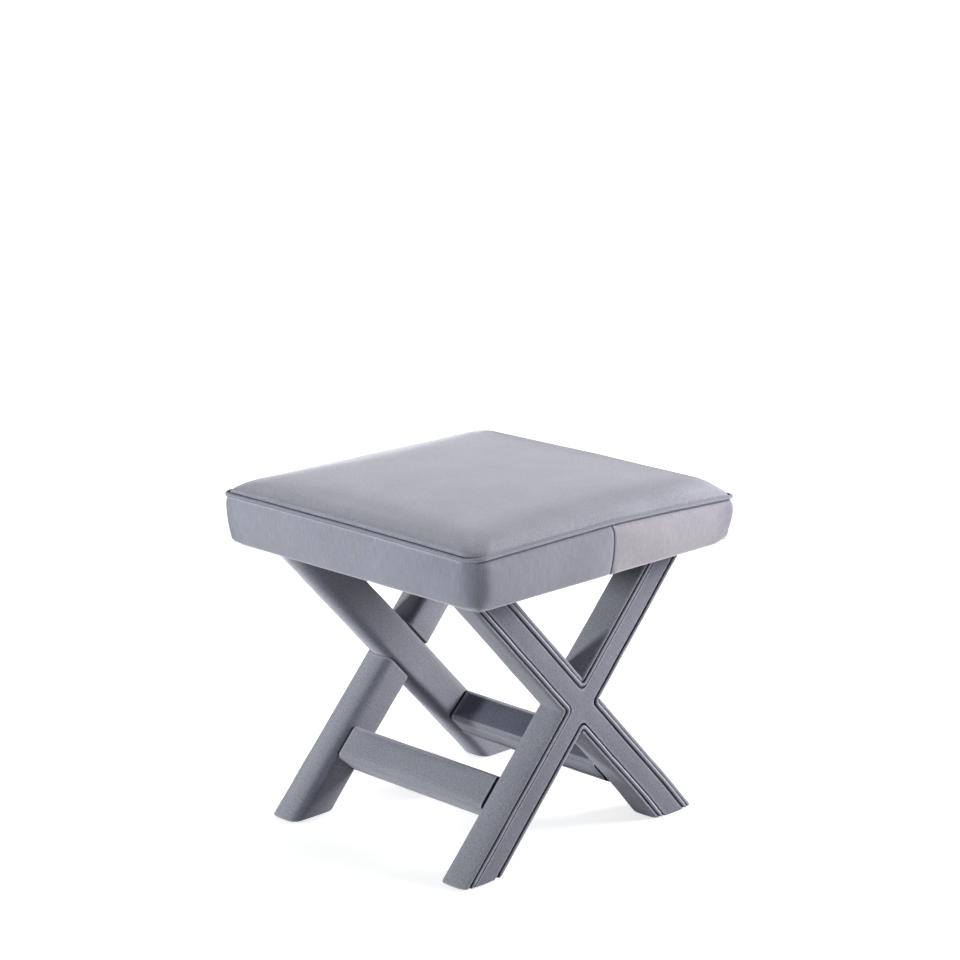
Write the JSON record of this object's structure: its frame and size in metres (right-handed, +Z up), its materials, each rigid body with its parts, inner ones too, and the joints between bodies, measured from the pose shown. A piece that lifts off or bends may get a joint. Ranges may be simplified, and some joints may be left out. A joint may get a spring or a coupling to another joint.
{
  "type": "upholstered bench",
  "caption": "Square upholstered bench: a crowned, welted velvet seat on padded X-shaped leg frames joined by low stretchers.",
  "frame": {"origin": "on the floor, under the middle of the seat", "axes": "+Z up; the X-shaped frames stand in planes of constant Y, the front one at -Y; the stretchers run along Y"},
  "size_m": [0.481, 0.481, 0.4718],
  "materials": {
    "velvet": "cool grey cut-pile velvet over thin wadding",
    "pine": "planed, unfinished",
    "plywood": "sanded, unfinished",
    "foam": "polyurethane foam",
    "cambric": "black non-woven dust cloth",
    "zinc_steel": "zinc plated",
    "nylon": "black moulded nylon"
  },
  "bodies": {
    "root": {"back_face_panel": "velvet", "back_face_welt_bottom": "velvet", "back_face_welt_left": "velvet", "back_face_welt_right": "velvet", "back_face_welt_top": "velvet", "back_glide_lapped": "nylon", "back_glide_through": "nylon", "back_lapped_bar": "pine", "back_lapped_cover_lower": "velvet", "back_lapped_cover_upper": "velvet", "back_leg_bolt_lapped": "zinc_steel", "back_leg_bolt_through": "zinc_steel", "back_leg_insert_lapped": "zinc_steel", "back_leg_insert_through": "zinc_steel", "back_stretcher_screw_lapped": "zinc_steel", "back_stretcher_screw_through": "zinc_steel", "back_through_bar": "pine", "back_through_cover": "velvet", "cross_rail_back": "pine", "cross_rail_front": "pine", "dust_cover": "cambric", "front_face_panel": "velvet", "front_face_welt_bottom": "velvet", "front_face_welt_left": "velvet", "front_face_welt_right": "velvet", "front_face_welt_top": "velvet", "front_glide_lapped": "nylon", "front_glide_through": "nylon", "front_lapped_bar": "pine", "front_lapped_cover_lower": "velvet", "front_lapped_cover_upper": "velvet", "front_leg_bolt_lapped": "zinc_steel", "front_leg_bolt_through": "zinc_steel", "front_leg_insert_lapped": "zinc_steel", "front_leg_insert_through": "zinc_steel", "front_stretcher_screw_lapped": "zinc_steel", "front_stretcher_screw_through": "zinc_steel", "front_through_bar": "pine", "front_through_cover": "velvet", "left_stretcher_core": "pine", "left_stretcher_cover": "velvet", "right_stretcher_core": "pine", "right_stretcher_cover": "velvet", "seat_boxing_left": "velvet", "seat_boxing_right": "velvet", "seat_deck": "plywood", "seat_foam": "foam", "seat_rail_back": "pine", "seat_rail_front": "pine", "seat_rail_left": "pine", "seat_rail_right": "pine", "seat_top_cover": "velvet", "seat_welt": "velvet"}
  },
  "joints": []
}
